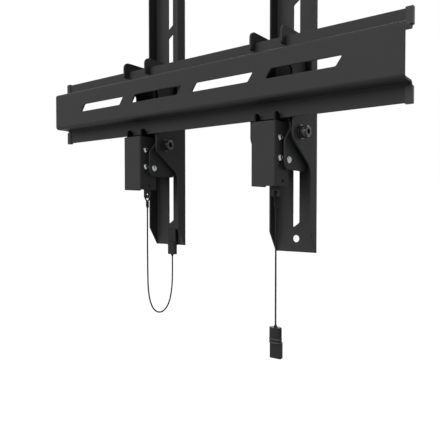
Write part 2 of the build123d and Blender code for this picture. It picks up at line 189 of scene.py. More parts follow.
@dataclass(frozen=True)
class GrainedFinish:
    """A surface with two close colours, a fine relief and a roughness that varies with it.

    Attributes:
        name: Name of the real material.
        slot: Slot of the record that it stands for. Not used.
        dark: Darker sRGB colour.
        pale: Paler sRGB colour.
        patch_mm: Size of the colour's soft patches.
        grain_mm: Size of the larger relief.
        grit_mm: Size of the finer relief.
        relief_mm: Height of the relief.
        smooth: Lowest roughness.
        rough: Highest roughness.
        metallic: 1 for bare metal, 0 otherwise.
        specular: Specular level of a surface that isn't metal.
        grit_share: Height of the finer relief as a share of the larger.
        top_colour: Colour of the part above a height, or none.
        top_from_mm: Height above which that colour is used.
        top_fade_mm: Height below that, over which the colour fades in.
    """

    name: str
    slot: Slot
    dark: str
    pale: str
    patch_mm: float
    grain_mm: float
    grit_mm: float
    relief_mm: float
    smooth: float
    rough: float
    metallic: float = 0.0
    specular: float = 0.5
    grit_share: float = 0.4
    top_colour: str | None = None
    top_from_mm: float = 0.0
    top_fade_mm: float = 0.6

    def build(self) -> bpy.types.Material:
        """Build the material's nodes on Object coordinates.

        Returns:
            The material.
        """
        values = {"Metallic": self.metallic, "Specular IOR Level": self.specular}
        material, shader = start_material(self.name, values)
        tree = material.node_tree
        place = add_node(tree, "ShaderNodeTexCoord").outputs["Object"]
        noises = []
        for size in (self.patch_mm, self.grain_mm, self.grit_mm):
            feeds = {"Vector": place, "Scale": 1 / (size * MM), "Detail": NOISE_DETAIL}
            noises.append(add_node(tree, "ShaderNodeTexNoise", feeds).outputs[0])
        patch, grain, grit = noises
        colours = {MIX_SHARE: patch, MIX_FIRST: linear(self.dark), MIX_SECOND: linear(self.pale)}
        mix = add_node(tree, "ShaderNodeMix", colours, data_type="RGBA")
        if self.top_colour:
            rise = add_node(tree, "ShaderNodeSeparateXYZ", {0: place}).outputs["Z"]
            edge = self.top_from_mm - self.top_fade_mm
            fade = {"Value": rise, "From Min": edge * MM, "From Max": self.top_from_mm * MM}
            on_top = add_node(tree, "ShaderNodeMapRange", fade).outputs[0]
            colours = {MIX_SHARE: on_top, MIX_FIRST: mix.outputs[MIX_RESULT], MIX_SECOND: linear(self.top_colour)}
            mix = add_node(tree, "ShaderNodeMix", colours, data_type="RGBA")
        tree.links.new(mix.outputs[MIX_RESULT], shader.inputs["Base Color"])
        spread = {
            "Value": grain,
            "From Min": NOISE_LOW,
            "From Max": NOISE_HIGH,
            "To Min": self.smooth,
            "To Max": self.rough,
        }
        gloss = add_node(tree, "ShaderNodeMapRange", spread)
        tree.links.new(gloss.outputs[0], shader.inputs["Roughness"])
        layers = {0: grit, 1: self.grit_share, 2: grain}
        height = add_node(tree, "ShaderNodeMath", layers, operation="MULTIPLY_ADD").outputs[0]
        bump = add_node(tree, "ShaderNodeBump", {"Height": height, "Distance": self.relief_mm * MM})
        tree.links.new(bump.outputs[0], shader.inputs["Normal"])
        return material


@dataclass(frozen=True)
class BraidFinish:
    """Braided cord, whose strands cross at a slant all round it.

    Attributes:
        name: Name of the real material.
        slot: Slot of the record that it stands for. Not used.
        dark: Colour between the strands, as painted shade in the grooves.
        pale: Colour on top of the strands.
        strands: Number of strands round the cord each way.
        turn_mm: Length of the cord in which a strand goes once round.
        relief_mm: Height of a strand.
        rough: Roughness of the fibre.
        specular: Specular level of the fibre.
    """

    name: str
    slot: Slot
    dark: str
    pale: str
    strands: int
    turn_mm: float
    relief_mm: float
    rough: float
    specular: float

    def build(self) -> bpy.types.Material:
        """Build the material's nodes on the cord's own UV map, which holds turns and metres.

        Returns:
            The material.
        """
        values = {"Roughness": self.rough, "Specular IOR Level": self.specular}
        material, shader = start_material(self.name, values)
        tree = material.node_tree
        place = add_node(tree, "ShaderNodeUVMap", uv_map=TUBE_MAP).outputs[0]
        split = add_node(tree, "ShaderNodeSeparateXYZ", {0: place})
        angle = self.strands * math.tau
        round_it = {0: split.outputs[0], 1: angle}
        along_it = {0: split.outputs[1], 1: angle / (self.turn_mm * MM)}
        turns = add_node(tree, "ShaderNodeMath", round_it, operation="MULTIPLY").outputs[0]
        run = add_node(tree, "ShaderNodeMath", along_it, operation="MULTIPLY").outputs[0]
        waves = []
        for way in ("ADD", "SUBTRACT"):
            slant = add_node(tree, "ShaderNodeMath", {0: turns, 1: run}, operation=way).outputs[0]
            waves.append(add_node(tree, "ShaderNodeMath", {0: slant}, operation="SINE").outputs[0])
        weave = add_node(tree, "ShaderNodeMath", dict(enumerate(waves)), operation="MULTIPLY").outputs[0]
        height = add_node(tree, "ShaderNodeMapRange", {"Value": weave, "From Min": -1.0}).outputs[0]
        # The colour follows the strands' height, so the grooves get painted shade.
        colours = {MIX_SHARE: height, MIX_FIRST: linear(self.dark), MIX_SECOND: linear(self.pale)}
        mix = add_node(tree, "ShaderNodeMix", colours, data_type="RGBA")
        tree.links.new(mix.outputs[MIX_RESULT], shader.inputs["Base Color"])
        bump = add_node(tree, "ShaderNodeBump", {"Height": height, "Distance": self.relief_mm * MM})
        tree.links.new(bump.outputs[0], shader.inputs["Normal"])
        return material


Finish = GrainedFinish | BraidFinish

# Powder coat, baked on: satin black with a soft orange peel, so edges catch a dull light and nothing
# mirrors. The peel is drawn about twice as coarse as the real one, so that it shows.
POWDER_COAT = GrainedFinish(
    name="powder_coated_steel", slot=Slot.STEEL, dark="#323233", pale="#353536",
    patch_mm=60.0, grain_mm=1.6, grit_mm=0.5, relief_mm=0.012,
    smooth=0.46, rough=0.60, specular=0.08,
)
# The slider's coat is painted paler than the rest, as painted light that lifts the cover's shadow
# that it is seen in. Its two prongs are drawn near black above a height.
SLIDER_COAT_PAINTED_PALER = replace(
    POWDER_COAT, name="powder_coated_steel_painted_paler", dark="#404041", pale="#434344",
    top_colour="#0c0c0d", top_from_mm=-48.0,
)
# Zinc plate over turned steel: bright, slightly milky, with fine uneven gloss.
ZINC_PLATE = GrainedFinish(
    name="zinc_plated_steel", slot=Slot.ZINC, dark="#8f9194", pale="#a9abad",
    patch_mm=3.0, grain_mm=0.7, grit_mm=0.25, relief_mm=0.002,
    smooth=0.16, rough=0.28, metallic=1.0,
)
# Black oxide on a hardened screw: dark and oily, with a sharp gleam along turned edges.
BLACK_OXIDE = GrainedFinish(
    name="black_oxide_steel", slot=Slot.BLACKENED, dark="#141415", pale="#1b1b1c",
    patch_mm=4.0, grain_mm=0.8, grit_mm=0.3, relief_mm=0.003,
    smooth=0.20, rough=0.30, specular=0.35,
)
# ABS moulded in a spark-eroded tool: even and dull, with a fine grit.
MOULDED_ABS = GrainedFinish(
    name="moulded_abs", slot=Slot.PLASTIC, dark="#202021", pale="#252526",
    patch_mm=12.0, grain_mm=0.6, grit_mm=0.3, relief_mm=0.010,
    smooth=0.42, rough=0.54, specular=0.12,
)
# The same ABS on the ribs of the tab that hangs in use, painted paler as a highlight where they face up
# into the light, with a finer and glossier grit.
RIB_HIGHLIGHT_ABS = replace(
    MOULDED_ABS, name="moulded_abs_painted_rib_highlight", dark="#404041", pale="#484849",
    patch_mm=6.0, grain_mm=0.8, grit_mm=0.4, relief_mm=0.004,
    smooth=0.34, rough=0.44,
)
# The lip caps are a paler and glossier moulding than the tabs.
CAP_ABS = replace(
    MOULDED_ABS, name="moulded_grey_abs", dark="#303031", pale="#353536",
    relief_mm=0.008, smooth=0.36, rough=0.48,
)
# Nylon disc, moulded: plain black with a waxy gloss.
BLACK_NYLON = GrainedFinish(
    name="black_nylon", slot=Slot.NYLON, dark="#161616", pale="#1c1c1c",
    patch_mm=6.0, grain_mm=1.0, grit_mm=0.4, relief_mm=0.004,
    smooth=0.30, rough=0.42, specular=0.3,
)
# Nickel plate on a sintered magnet: warm and bright, with a faint peel.
NICKEL_PLATE = GrainedFinish(
    name="nickel_plated_magnet", slot=Slot.NICKEL, dark="#bdb8ae", pale="#cbc6bc",
    patch_mm=3.0, grain_mm=0.8, grit_mm=0.3, relief_mm=0.002,
    smooth=0.12, rough=0.22, metallic=1.0,
)
# Braided polyester: matt black, with strands that show as a fine slanted weave, and painted shade
# in the grooves between them.
BRAID = BraidFinish(
    name="braided_polyester", slot=Slot.CORD, dark="#19191a", pale="#202021",
    strands=8, turn_mm=9.0, relief_mm=0.015,
    rough=0.75, specular=0.15,
)
FINISHES = (
    POWDER_COAT, SLIDER_COAT_PAINTED_PALER, ZINC_PLATE, BLACK_OXIDE, MOULDED_ABS,
    RIB_HIGHLIGHT_ABS, CAP_ABS, BLACK_NYLON, NICKEL_PLATE, BRAID,
)


def new_piece(name: str, data: bpy.types.ID) -> bpy.types.Object:
    """Put a mesh, a curve, a light or a camera in the scene, at the origin.

    Args:
        name: Name of the object.
        data: What it shows.

    Returns:
        The new object.
    """
    piece = bpy.data.objects.new(name, data)
    bpy.context.scene.collection.objects.link(piece)
    return piece


def evaluated_mesh(piece: bpy.types.Object) -> bpy.types.Mesh:
    """Make a plain mesh of a piece's modified shape.

    Args:
        piece: Curve, or mesh with modifiers.

    Returns:
        The new mesh.
    """
    bpy.context.view_layer.update()
    graph = bpy.context.evaluated_depsgraph_get()
    return bpy.data.meshes.new_from_object(piece.evaluated_get(graph))


def keep_shape(piece: bpy.types.Object) -> None:
    """Make a piece's modified shape its own mesh, and remove its modifiers.

    Args:
        piece: Mesh object with modifiers.
    """
    old = piece.data
    mesh = evaluated_mesh(piece)
    piece.modifiers.clear()
    piece.data = mesh
    mesh.name = piece.name
    bpy.data.meshes.remove(old)


def run_tree(piece: bpy.types.Object, tree: bpy.types.NodeTree, values: dict[str, object]) -> None:
    """Run a Geometry Nodes tree on a piece and keep the shape that it makes.

    Args:
        piece: Mesh object.
        tree: Tree to run.
        values: Values of the tree's named inputs.
    """
    modifier = piece.modifiers.new(tree.name, "NODES")
    modifier.node_group = tree
    for item in tree.interface.items_tree:
        if item.in_out == "INPUT" and item.name in values:
            modifier[item.identifier] = values[item.name]
    keep_shape(piece)


def start_tree(name: str, sockets: dict[str, str]) -> tuple[bpy.types.NodeTree, bpy.types.Node]:
    """Start a Geometry Nodes tree with a shape in and a shape out.

    Args:
        name: Name of the tree.
        sockets: Names and kinds of its further inputs.

    Returns:
        The tree and its input node.
    """
    tree = bpy.data.node_groups.new(name, "GeometryNodeTree")
    tree.interface.new_socket("Shape", in_out="INPUT", socket_type="NodeSocketGeometry")
    for socket, kind in sockets.items():
        tree.interface.new_socket(socket, in_out="INPUT", socket_type=f"NodeSocket{kind}")
    tree.interface.new_socket("Shape", in_out="OUTPUT", socket_type="NodeSocketGeometry")
    return tree, add_node(tree, "NodeGroupInput")


def end_tree(tree: bpy.types.NodeTree, shape: bpy.types.NodeSocket, finish: bpy.types.NodeSocket) -> None:
    """End a Geometry Nodes tree with real meshes in one material.

    Args:
        tree: Tree to end.
        shape: Output with the shape.
        finish: Output with the material.
    """
    real = add_node(tree, "GeometryNodeRealizeInstances", {0: shape})
    dressed = add_node(tree, "GeometryNodeSetMaterial", {"Geometry": real.outputs[0], "Material": finish})
    add_node(tree, "NodeGroupOutput", {0: dressed.outputs[0]})


def wire_tree() -> bpy.types.NodeTree:
    """Build the tree that sweeps a round wire along lines of points.

    Returns:
        The tree.
    """
    tree, given = start_tree("round_wire", {"Radius": "Float", "Sides": "Int", "Finish": "Material"})
    line = add_node(tree, "GeometryNodeMeshToCurve", {0: given.outputs["Shape"]})
    round_section = {"Resolution": given.outputs["Sides"], "Radius": given.outputs["Radius"]}
    section = add_node(tree, "GeometryNodeCurvePrimitiveCircle", round_section)
    sweep = {"Curve": line.outputs[0], "Profile Curve": section.outputs[0], "Fill Caps": True}
    wire = add_node(tree, "GeometryNodeCurveToMesh", sweep)
    soft = add_node(tree, "GeometryNodeSetShadeSmooth", {"Geometry": wire.outputs[0]})
    end_tree(tree, soft.outputs[0], given.outputs["Finish"])
    return tree


def knurl_tree() -> bpy.types.NodeTree:
    """Build the tree that sets ridges round a screw's head, whose axis is along X.

    Returns:
        The tree.
    """
    tree, given = start_tree("knurled_rim", {
        "Rim Radius": "Float",
        "Rim Height": "Float",
        "Ridges": "Int",
        "Ridge Radius": "Float",
        "Place": "Vector",
        "Finish": "Material",
    })
    circle = {"Vertices": given.outputs["Ridges"], "Radius": given.outputs["Rim Radius"]}
    rim = add_node(tree, "GeometryNodeMeshCircle", circle)
    cylinder = {
        "Vertices": RIDGE_SIDES,
        "Radius": given.outputs["Ridge Radius"],
        "Depth": given.outputs["Rim Height"],
    }
    ridge = add_node(tree, "GeometryNodeMeshCylinder", cylinder)
    copies = {"Points": rim.outputs[0], "Instance": ridge.outputs[0]}
    ridges = add_node(tree, "GeometryNodeInstanceOnPoints", copies)
    move = {
        "Geometry": ridges.outputs[0],
        "Translation": given.outputs["Place"],
        "Rotation": (0, math.pi / 2, 0),
    }
    turned = add_node(tree, "GeometryNodeTransform", move)
    both = add_node(tree, "GeometryNodeJoinGeometry")
    tree.links.new(given.outputs["Shape"], both.inputs[0])
    tree.links.new(turned.outputs[0], both.inputs[0])
    end_tree(tree, both.outputs[0], given.outputs["Finish"])
    return tree


def rounded_copy(node: bpy.types.Object, name: str, edge_mm: float) -> bpy.types.Object:
    """Copy a solid with its sharp edges rounded over, as a coat, a die or a mould leaves them.

    Args:
        node: Node of the frame.
        name: Name of the new piece.
        edge_mm: Width of the rounded edge.

    Returns:
        The rounded piece.
    """
    mesh = bpy.data.meshes.new(name)
    shape = bmesh.new()
    shape.from_mesh(node.data)
    bmesh.ops.remove_doubles(shape, verts=shape.verts, dist=MERGE_DISTANCE)
    bmesh.ops.dissolve_limit(shape, angle_limit=FLAT_ANGLE, verts=shape.verts[:], edges=shape.edges[:])
    for face in shape.faces:
        face.smooth = True
    shape.to_mesh(mesh)
    shape.free()
    piece = new_piece(name, mesh)
    bevel = piece.modifiers.new("edge", "BEVEL")
    bevel.width = edge_mm * MM
    bevel.segments = EDGE_STEPS
    bevel.limit_method = "ANGLE"
    bevel.angle_limit = SHARP_ANGLE
    bevel.use_clamp_overlap = False
    flats = piece.modifiers.new("flats", "WEIGHTED_NORMAL")
    flats.mode = "FACE_AREA"
    flats.weight = FLAT_WEIGHT
    keep_shape(piece)
    return piece


def line_mesh(name: str, lines: list[list[Vector]]) -> bpy.types.Mesh:
    """Make a mesh of bare lines.

    Args:
        name: Name of the mesh.
        lines: Points of each line.

    Returns:
        A mesh of points and edges.
    """
    points = []
    edges = []
    for line in lines:
        first = len(points)
        points += line
        edges += [(index, index + 1) for index in range(first, len(points) - 1)]
    mesh = bpy.data.meshes.new(name)
    mesh.from_pydata(points, edges, [])
    return mesh


def add_tube(shape: bmesh.types.BMesh, path: list[Vector], radius: float, sides: int) -> None:
    """Sweep a round section along a path and close both ends.

    Args:
        shape: Shape that gets the tube, with a UV map of turns and metres.
        path: Points of the centre line.
        radius: Radius of the section.
        sides: Number of sides of the section.
    """
    uv_layer = shape.loops.layers.uv[TUBE_MAP]
    last = len(path) - 1
    normal = (path[1] - path[0]).orthogonal().normalized()
    rings = []
    lengths = [0.0]
    for index, point in enumerate(path):
        tangent = (path[min(index + 1, last)] - path[max(index - 1, 0)]).normalized()
        normal = (normal - tangent * normal.dot(tangent)).normalized()
        other = tangent.cross(normal)
        ring = []
        for side in range(sides):
            angle = math.tau * side / sides
            way = normal * math.cos(angle) + other * math.sin(angle)
            ring.append(shape.verts.new(point + radius * way))
        rings.append(ring)
        if index:
            lengths.append(lengths[-1] + (point - path[index - 1]).length)
    for index in range(last):
        near, far = rings[index], rings[index + 1]
        for side in range(sides):
            after = (side + 1) % sides
            face = shape.faces.new((near[side], near[after], far[after], far[side]))
            face.smooth = True
            corners = ((side, index), (side + 1, index), (side + 1, index + 1), (side, index + 1))
            for loop, (turn, step) in zip(face.loops, corners):
                loop[uv_layer].uv = (turn / sides, lengths[step])
    shape.faces.new(list(reversed(rings[0])))
    shape.faces.new(rings[-1])


def tube_mesh(name: str, paths: list[list[Vector]], radius: float, sides: int) -> bpy.types.Mesh:
    """Sweep a round section along paths, with a UV map of turns and metres.

    Args:
        name: Name of the mesh.
        paths: Points of each centre line.
        radius: Radius of the section.
        sides: Number of sides of the section.

    Returns:
        A mesh of closed tubes.
    """
    shape = bmesh.new()
    shape.loops.layers.uv.new(TUBE_MAP)
    for path in paths:
        add_tube(shape, path, radius, sides)
    mesh = bpy.data.meshes.new(name)
    shape.to_mesh(mesh)
    shape.free()
    return mesh


def smooth_line(points: list[Vector]) -> list[Vector]:
    """Read the smooth line of a cord from a spline with its route as control points.

    Args:
        points: Route of the cord.

    Returns:
        Points along the smooth line.
    """
    curve = bpy.data.curves.new("cord_line", "CURVE")
    curve.dimensions = "3D"
    curve.resolution_u = LINE_STEPS
    spline = curve.splines.new("NURBS")
    spline.points.add(len(points) - 1)
    for knot, point in zip(spline.points, points):
        knot.co = (*point, 1.0)
    spline.order_u = 3
    spline.use_endpoint_u = True
    holder = new_piece("cord_line", curve)
    mesh = evaluated_mesh(holder)
    line = [vertex.co.copy() for vertex in mesh.vertices]
    bpy.data.objects.remove(holder)
    bpy.data.curves.remove(curve)
    bpy.data.meshes.remove(mesh)
    return line


class Workshop:
    """The loaded frame and the finishes, with the steps that every piece shares."""

    def __init__(self, nodes: dict[str, bpy.types.Object]) -> None:
        """Build every material and tree once.

        Args:
            nodes: Nodes of the loaded frame.
        """
        self.nodes = nodes
        self.materials = {finish.name: finish.build() for finish in FINISHES}
        self.wires = wire_tree()
        self.knurls = knurl_tree()

    def dress(self, piece: bpy.types.Object, finish: Finish) -> None:
        """Give a piece or a node one finish all over."""
        piece.data.materials.clear()
        piece.data.materials.append(self.materials[finish.name])

    def touch_up(self, piece: bpy.types.Object, faces: list[int], finish: Finish) -> None:
        """Give some faces of a dressed piece a second finish.

        Args:
            piece: Dressed piece.
            faces: Numbers of the faces.
            finish: Their finish.
        """
        mesh = piece.data
        mesh.materials.append(self.materials[finish.name])
        for face in faces:
            mesh.polygons[face].material_index = 1

    def stand_in(self, piece: bpy.types.Object, node: str, finish: Finish, body: str | None) -> None:
        """Dress a piece and put it in the place of a node.

        Args:
            piece: New piece.
            node: Name of the node that it replaces.
            finish: Finish of the piece.
            body: Body that it rides on, or none for a piece that spans two.
        """
        self.dress(piece, finish)
        if body:
            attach(piece, body)
        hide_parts(node)

    def round_off(self, node: str, body: str, finish: Finish, edge_mm: float) -> bpy.types.Object:
        """Replace a node by its copy with rounded edges.

        Args:
            node: Name of the node.
            body: Body that it rides on.
            finish: Finish of the piece.
            edge_mm: Width of the rounded edges.

        Returns:
            The new piece.
        """
        piece = rounded_copy(self.nodes[node], f"rounded_{node}", edge_mm)
        self.stand_in(piece, node, finish, body)
        return piece


@dataclass
class WallRail:
    """The folded rail on the wall, with the caps on its lips.

    Attributes:
        edge_mm: Rounding of the coated sheet's edges.
        cap_edge_mm: Rounding of the caps' edges.
    """

    edge_mm: float = 0.4
    cap_edge_mm: float = 0.25

    def build(self, shop: Workshop) -> None:
        """Make and dress the rail's pieces.

        Args:
            shop: The workshop.
        """
        shop.round_off("wall_rail", "rail", POWDER_COAT, self.edge_mm)
        shop.round_off("lip_end_caps", "rail", CAP_ABS, self.cap_edge_mm)
        LOG.info("wall rail and lip caps dressed")


@dataclass
class ScreenArm:
    """One arm's folded channel and the hook bracket that carries it.

    Attributes:
        side: Which of the two arms.
        edge_mm: Rounding of the coated sheets' edges.
        rivet_edge_mm: Rounding of the rivet's edges.
    """

    side: Side
    edge_mm: float = 0.35
    rivet_edge_mm: float = 0.25

    def build(self, shop: Workshop) -> None:
        """Make and dress the arm, the bracket and the tail rivet.

        Args:
            shop: The workshop.
        """
        own = self.side.own
        shop.round_off(own("tv_arm"), own("arm"), POWDER_COAT, self.edge_mm)
        shop.round_off(own("hook_bracket"), own("hook"), POWDER_COAT, self.edge_mm)
        shop.round_off(own("tail_rivet"), own("hook"), ZINC_PLATE, self.rivet_edge_mm)
        shop.dress(shop.nodes[own("tail_spacers")], ZINC_PLATE)
        LOG.info("%s arm and hook bracket dressed", self.side.value)


@dataclass
class Pivot:
    """The pivot screw with its nut, washers, friction discs and spacers.

    Attributes:
        side: Which of the two arms.
        depth_mm: Distance of the screw's axis from the wall.
        height_mm: Height of the screw's axis.
        head_start_mm: Distance of the knurled part of the head from the arm's middle.
        knurl_mm: Length of the knurled part.
        head_radius_mm: Radius of the head at the middle of a knurl.
        ridges: Number of knurls.
        ridge_mm: Radius of a knurl.
        edge_mm: Rounding of the edges.
    """

    side: Side
    depth_mm: float = 42.2
    height_mm: float = -56.8
    head_start_mm: float = 29.6
    knurl_mm: float = 5.4
    head_radius_mm: float = 6.35
    ridges: int = 40
    ridge_mm: float = 0.34
    edge_mm: float = 0.3

    def build(self, shop: Workshop) -> None:
        """Make and dress the pieces on the pivot's axis.

        Args:
            shop: The workshop.
        """
        own = self.side.own
        for piece in ("pivot_nut", "pivot_washers"):
            shop.round_off(own(piece), own("hook"), BLACK_OXIDE, self.edge_mm)
        shop.dress(shop.nodes[own("tilt_discs")], BLACK_NYLON)
        shop.dress(shop.nodes[own("pivot_spacers")], ZINC_PLATE)
        node = own("pivot_screw")
        screw = rounded_copy(shop.nodes[node], own("knurled_screw"), self.edge_mm)
        run_tree(screw, shop.knurls, {
            "Rim Radius": self.head_radius_mm * MM,
            "Rim Height": self.knurl_mm * MM,
            "Ridges": self.ridges,
            "Ridge Radius": self.ridge_mm * MM,
            "Place": self.side.point(-self.head_start_mm - self.knurl_mm / 2, self.depth_mm, self.height_mm),
            "Finish": shop.materials[BLACK_OXIDE.name],
        })
        shop.stand_in(screw, node, BLACK_OXIDE, own("hook"))
        LOG.info("%s pivot screw knurled with %d ridges", self.side.value, self.ridges)


@dataclass
class Latch:
    """The latch in its cover, with a wound spring between its two pins.

    Attributes:
        side: Which of the two arms.
        edge_mm: Rounding of the coated sheets' edges.
        pin_edge_mm: Rounding of the bored pins' edges.
        bore_mm: Radius of the bores in the pins' ends, up to the rounding.
        axis_depth_mm: Distance of the spring's axis from the wall.
        upper_pin_mm: Height of the guide rivet.
        lower_pin_mm: Height of the latch pin.
        wire_mm: Thickness of the spring's wire.
        wire_sides: Number of sides of the wire's section.
        coil_radius_mm: Radius of the coil at the middle of the wire.
        eye_radius_mm: Radius of the eyes at the middle of the wire.
        turns: Turns of the coil, with a half at the end so that the eyes face the same way.
        eye_gap_deg: Open part of each eye.
        steps: Points in a turn of the coil. An eye has twice as many.
    """

    side: Side
    edge_mm: float = 0.3
    pin_edge_mm: float = 0.25
    bore_mm: float = 1.95
    axis_depth_mm: float = 19.0
    upper_pin_mm: float = -64.0
    lower_pin_mm: float = -85.6
    wire_mm: float = 1.2
    wire_sides: int = 10
    coil_radius_mm: float = 3.4
    eye_radius_mm: float = 3.2
    turns: float = 11.5
    eye_gap_deg: float = 32.0
    steps: int = 20

    @property
    def coil_top_mm(self) -> float:
        """Height of the coil's upper end, below the upper eye."""
        return self.upper_pin_mm - self.eye_radius_mm

    @property
    def coil_bottom_mm(self) -> float:
        """Height of the coil's lower end, above the lower eye."""
        return self.lower_pin_mm + self.eye_radius_mm

    def build(self, shop: Workshop) -> None:
        """Make and dress the cover, the slider, their pins and the spring.

        Args:
            shop: The workshop.
        """
        own = self.side.own
        hook, latch = own("hook"), own("latch")
        shop.round_off(own("latch_cover"), hook, POWDER_COAT, self.edge_mm)
        # The slider gets the coat that is painted paler as painted light.
        shop.round_off(own("latch_slider"), latch, SLIDER_COAT_PAINTED_PALER, self.edge_mm)
        rivet = shop.round_off(own("guide_rivet"), hook, ZINC_PLATE, self.pin_edge_mm)
        self.paint_bore_shade(shop, rivet, self.upper_pin_mm)
        pin = shop.round_off(own("latch_pin"), latch, ZINC_PLATE, self.pin_edge_mm)
        self.paint_bore_shade(shop, pin, self.lower_pin_mm)
        self.wind_spring(shop, hook, latch)
        LOG.info("%s latch dressed", self.side.value)

    def paint_bore_shade(self, shop: Workshop, pin: bpy.types.Object, height_mm: float) -> None:
        """Paint the bores in a pin's ends dark, as painted shade in their hollows.

        Args:
            shop: The workshop.
            pin: The dressed pin, whose axis is along X.
            height_mm: Height of its axis.
        """
        axis = self.side.point(0, self.axis_depth_mm, height_mm).yz
        corners = pin.data.vertices
        bores = []
        for face in pin.data.polygons:
            reach = max((corners[index].co.yz - axis).length for index in face.vertices)
            if reach < self.bore_mm * MM:
                bores.append(face.index)
        # The bores' faces get the black oxide finish as painted shade.
        shop.touch_up(pin, bores, BLACK_OXIDE)

    def eye_point(self, angle_deg: float, pin_mm: float) -> Vector:
        """Work out a point of the wire round a pin.

        Args:
            angle_deg: Angle round the pin: 90 is above it and 270 below.
            pin_mm: Height of the pin.

        Returns:
            The point.
        """
        angle = math.radians(angle_deg)
        depth = self.axis_depth_mm - self.eye_radius_mm * math.cos(angle)
        return self.side.point(0, depth, pin_mm + self.eye_radius_mm * math.sin(angle))

    def coil_points(self) -> list[Vector]:
        """Work out the coil, which opens out over its first half turn and closes over its last.

        Returns:
            Points along the middle of its wire, from top to bottom.
        """
        points = []
        total = self.turns + 1
        count = round(total * self.steps)
        drop = self.coil_bottom_mm - self.coil_top_mm
        for index in range(count + 1):
            turn = total * index / count
            radius = self.coil_radius_mm * min(1.0, 2 * turn, 2 * (total - turn))
            angle = math.pi / 2 + math.tau * turn
            depth = self.axis_depth_mm - radius * math.sin(angle)
            height = self.coil_top_mm + drop * index / count
            points.append(self.side.point(radius * math.cos(angle), depth, height))
        return points

    def wire_line(self) -> list[Vector]:
        """Work out the middle line of the spring's wire: eye, coil and eye.

        Returns:
            Points along it, from the upper eye to the lower.
        """
        eye_steps = self.steps * 2
        sweep = 360 - self.eye_gap_deg
        turns = [sweep * step / eye_steps for step in range(eye_steps + 1)]
        upper = [self.eye_point(270 - sweep + turn, self.upper_pin_mm) for turn in turns[:-1]]
        lower = [self.eye_point(90 - turn, self.lower_pin_mm) for turn in turns[1:]]
        return upper + self.coil_points() + lower

    def wind_spring(self, shop: Workshop, hook: str, latch: str) -> None:
        """Wind the spring between the bracket and the latch.

        Args:
            shop: The workshop.
            hook: Body that holds the upper eye. Not used.
            latch: Body that holds the lower eye. Not used.
        """
        spring = new_piece(self.side.own("wound_spring"), line_mesh("spring_line", [self.wire_line()]))
        run_tree(spring, shop.wires, {
            "Radius": self.wire_mm * MM / 2,
            "Sides": self.wire_sides,
            "Finish": shop.materials[ZINC_PLATE.name],
        })
        shop.stand_in(spring, self.side.own("latch_spring"), ZINC_PLATE, None)
        high = self.side.point(0, self.axis_depth_mm, self.coil_top_mm)
        low = self.side.point(0, self.axis_depth_mm, self.coil_bottom_mm)
        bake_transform(spring)


